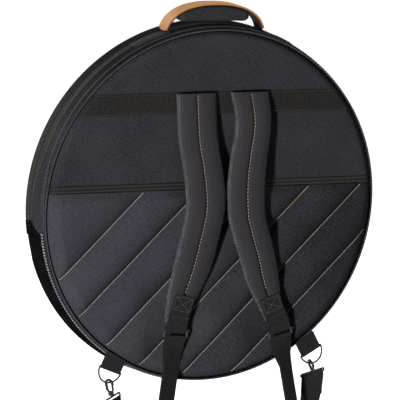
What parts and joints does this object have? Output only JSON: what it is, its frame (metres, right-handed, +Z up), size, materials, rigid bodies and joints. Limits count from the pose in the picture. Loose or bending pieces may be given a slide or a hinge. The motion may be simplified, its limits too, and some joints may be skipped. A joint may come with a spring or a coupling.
{
  "type": "cymbal bag",
  "caption": "Round padded cymbal bag with a folding zipped lid, backpack straps on swivel hooks, quilted back pocket and a leather-topped carry handle.",
  "frame": {"origin": "middle of the carry grip's underside, where the bag hangs", "axes": "+Z up with the bag hanging, +Y out of the lid, so the back panel with its straps faces -Y; +X to the right when looking at the back"},
  "size_m": [0.6052, 0.1201, 0.8365],
  "materials": {
    "charcoal_fabric": "woven polyester, matt",
    "quilted_fabric": "quilted polyester with orange stitching",
    "black_twill": "ribbed twill",
    "webbing": "polypropylene webbing",
    "anchor_webbing": "flat woven band",
    "piping": "fabric-covered cord",
    "lining": "soft lining",
    "mesh_lining": "spacer mesh",
    "zip_tape": "woven zip tape with coil",
    "tan_leather": "smooth vegetable-tanned",
    "grip_fabric": "padded knit",
    "black_metal": "black painted zinc",
    "black_plastic": "matt acetal"
  },
  "bodies": {
    "case": {"back_panel": "charcoal_fabric", "back_upper_skin": "charcoal_fabric", "strap_anchor_band": "anchor_webbing", "back_pocket_panel": "quilted_fabric", "back_pocket_hem": "webbing", "back_piping": "piping", "rear_gusset": "charcoal_fabric", "lower_gusset": "black_twill", "front_lower_panel": "quilted_fabric", "front_lower_piping": "piping", "rear_divider": "lining", "front_divider": "lining", "main_zip_rear_stringer": "zip_tape", "side_zip_stringer": "zip_tape", "handle_left_patch": "webbing", "handle_right_patch": "webbing", "left_ring_tab": "webbing", "right_ring_tab": "webbing", "left_lower_webbing": "webbing", "right_lower_webbing": "webbing"},
    "lid": {"lid_panel": "charcoal_fabric", "lid_gusset": "charcoal_fabric", "lid_piping": "piping", "main_zip_lid_stringer": "zip_tape"},
    "handle": {"handle_leather": "tan_leather", "handle_webbing": "webbing", "handle_grip": "grip_fabric"},
    "main_slider_low": {"main_zip_slider_low": "black_metal"},
    "main_pull_low": {"main_zip_pull_low": "black_metal"},
    "main_slider_high": {"main_zip_slider_high": "black_metal"},
    "main_pull_high": {"main_zip_pull_high": "black_metal"},
    "side_slider": {"side_zip_slider": "black_metal"},
    "side_pull": {"side_zip_pull": "black_metal"},
    "left_strap": {"left_strap_pad": "quilted_fabric", "left_strap_lining": "mesh_lining", "left_strap_webbing": "webbing"},
    "left_lock": {"left_ladder_lock": "black_plastic"},
    "left_ring": {"left_d_ring": "black_metal"},
    "left_hook": {"left_hook_frame": "black_metal"},
    "left_gate": {"left_hook_gate": "black_metal"},
    "left_eye": {"left_hook_eye": "black_metal"},
    "right_strap": {"right_strap_pad": "quilted_fabric", "right_strap_lining": "mesh_lining", "right_strap_webbing": "webbing"},
    "right_lock": {"right_ladder_lock": "black_plastic"},
    "right_ring": {"right_d_ring": "black_metal"},
    "right_hook": {"right_hook_frame": "black_metal"},
    "right_gate": {"right_hook_gate": "black_metal"},
    "right_eye": {"right_hook_eye": "black_metal"}
  },
  "joints": [
    {"name": "lid_open", "type": "hinge", "parent": "case", "child": "lid", "pos_m": [0, 0.04, -0.3545], "axis": [-1, 0, 0], "range_deg": [0, 150]},
    {"name": "handle_swing", "type": "hinge", "parent": "case", "child": "handle", "pos_m": [0, -0.004, -0.01682], "axis": [1, 0, 0], "range_deg": [-12, 12]},
    {"name": "main_zip_low_travel", "type": "hinge", "parent": "case", "child": "main_slider_low", "pos_m": [0, 0.019, -0.3075], "axis": [0, -1, 0], "range_deg": [-31, 0]},
    {"name": "main_pull_low_lift", "type": "hinge", "parent": "main_slider_low", "child": "main_pull_low", "pos_m": [0.28019, 0.019, -0.18313], "axis": [0, -1, 0], "range_deg": [0, 90]},
    {"name": "main_zip_high_travel", "type": "hinge", "parent": "case", "child": "main_slider_high", "pos_m": [0, 0.019, -0.3075], "axis": [0, -1, 0], "range_deg": [0, 160]},
    {"name": "main_pull_high_lift", "type": "hinge", "parent": "main_slider_high", "child": "main_pull_high", "pos_m": [0.27538, 0.019, -0.1728], "axis": [0, 1, 0], "range_deg": [0, 90]},
    {"name": "side_zip_travel", "type": "hinge", "parent": "case", "child": "side_slider", "pos_m": [0, -0.0295, -0.3075], "axis": [0, -1, 0], "range_deg": [-65, 0]},
    {"name": "side_pull_lift", "type": "hinge", "parent": "side_slider", "child": "side_pull", "pos_m": [-0.06446, -0.0295, -0.6072], "axis": [0, 1, 0], "range_deg": [-75, 10]},
    {"name": "left_strap_lift", "type": "hinge", "parent": "case", "child": "left_strap", "pos_m": [-0.04128, -0.0439, -0.1128], "axis": [-1, 0, 0], "range_deg": [0, 35], "deforming": ["left_lower_webbing"]},
    {"name": "left_lock_tilt", "type": "hinge", "parent": "left_strap", "child": "left_lock", "pos_m": [-0.06586, -0.0615, -0.51373], "axis": [0.9954, 0, -0.0958], "range_deg": [-30, 30], "deforming": ["left_lower_webbing"]},
    {"name": "left_ring_swing", "type": "hinge", "parent": "case", "child": "left_ring", "pos_m": [-0.1713, -0.038, -0.579], "axis": [0.9219, 0, -0.3875], "range_deg": [-40, 40], "deforming": ["left_lower_webbing"]},
    {"name": "left_hook_swing", "type": "hinge", "parent": "left_ring", "child": "left_hook", "pos_m": [-0.17295, -0.038, -0.60166], "axis": [1, 0, 0], "range_deg": [-25, 25], "deforming": ["left_lower_webbing"]},
    {"name": "left_gate_press", "type": "hinge", "parent": "left_hook", "child": "left_gate", "pos_m": [-0.16697, -0.04293, -0.61429], "axis": [-0.8466, -0.4888, -0.2104], "range_deg": [0, 25], "stiffness_Nm_per_rad": 0.02, "springref_deg": -17.19},
    {"name": "left_eye_turn", "type": "hinge", "parent": "left_hook", "child": "left_eye", "pos_m": [-0.1668, -0.038, -0.6264], "axis": [0.2411, 0, -0.9705], "range_deg": [-90, 90], "deforming": ["left_lower_webbing"]},
    {"name": "right_strap_lift", "type": "hinge", "parent": "case", "child": "right_strap", "pos_m": [0.05576, -0.0439, -0.1128], "axis": [-1, 0, 0], "range_deg": [0, 35], "deforming": ["right_lower_webbing"]},
    {"name": "right_lock_tilt", "type": "hinge", "parent": "right_strap", "child": "right_lock", "pos_m": [0.12605, -0.06175, -0.523], "axis": [0.9736, 0, 0.2284], "range_deg": [-30, 30], "deforming": ["right_lower_webbing"]},
    {"name": "right_ring_swing", "type": "hinge", "parent": "case", "child": "right_ring", "pos_m": [0.1986, -0.038, -0.5679], "axis": [0.8712, 0, 0.4909], "range_deg": [-40, 40], "deforming": ["right_lower_webbing"]},
    {"name": "right_hook_swing", "type": "hinge", "parent": "right_ring", "child": "right_hook", "pos_m": [0.20059, -0.038, -0.59035], "axis": [1, 0, 0], "range_deg": [-25, 25], "deforming": ["right_lower_webbing"]},
    {"name": "right_gate_press", "type": "hinge", "parent": "right_hook", "child": "right_gate", "pos_m": [0.20755, -0.0352, -0.60313], "axis": [-0.8784, 0, -0.478], "range_deg": [0, 25], "stiffness_Nm_per_rad": 0.02, "springref_deg": -17.19},
    {"name": "right_eye_turn", "type": "hinge", "parent": "right_hook", "child": "right_eye", "pos_m": [0.21078, -0.02399, -0.60906], "axis": [0.3995, 0.5493, -0.734], "range_deg": [-90, 90], "deforming": ["right_lower_webbing"]}
  ]
}
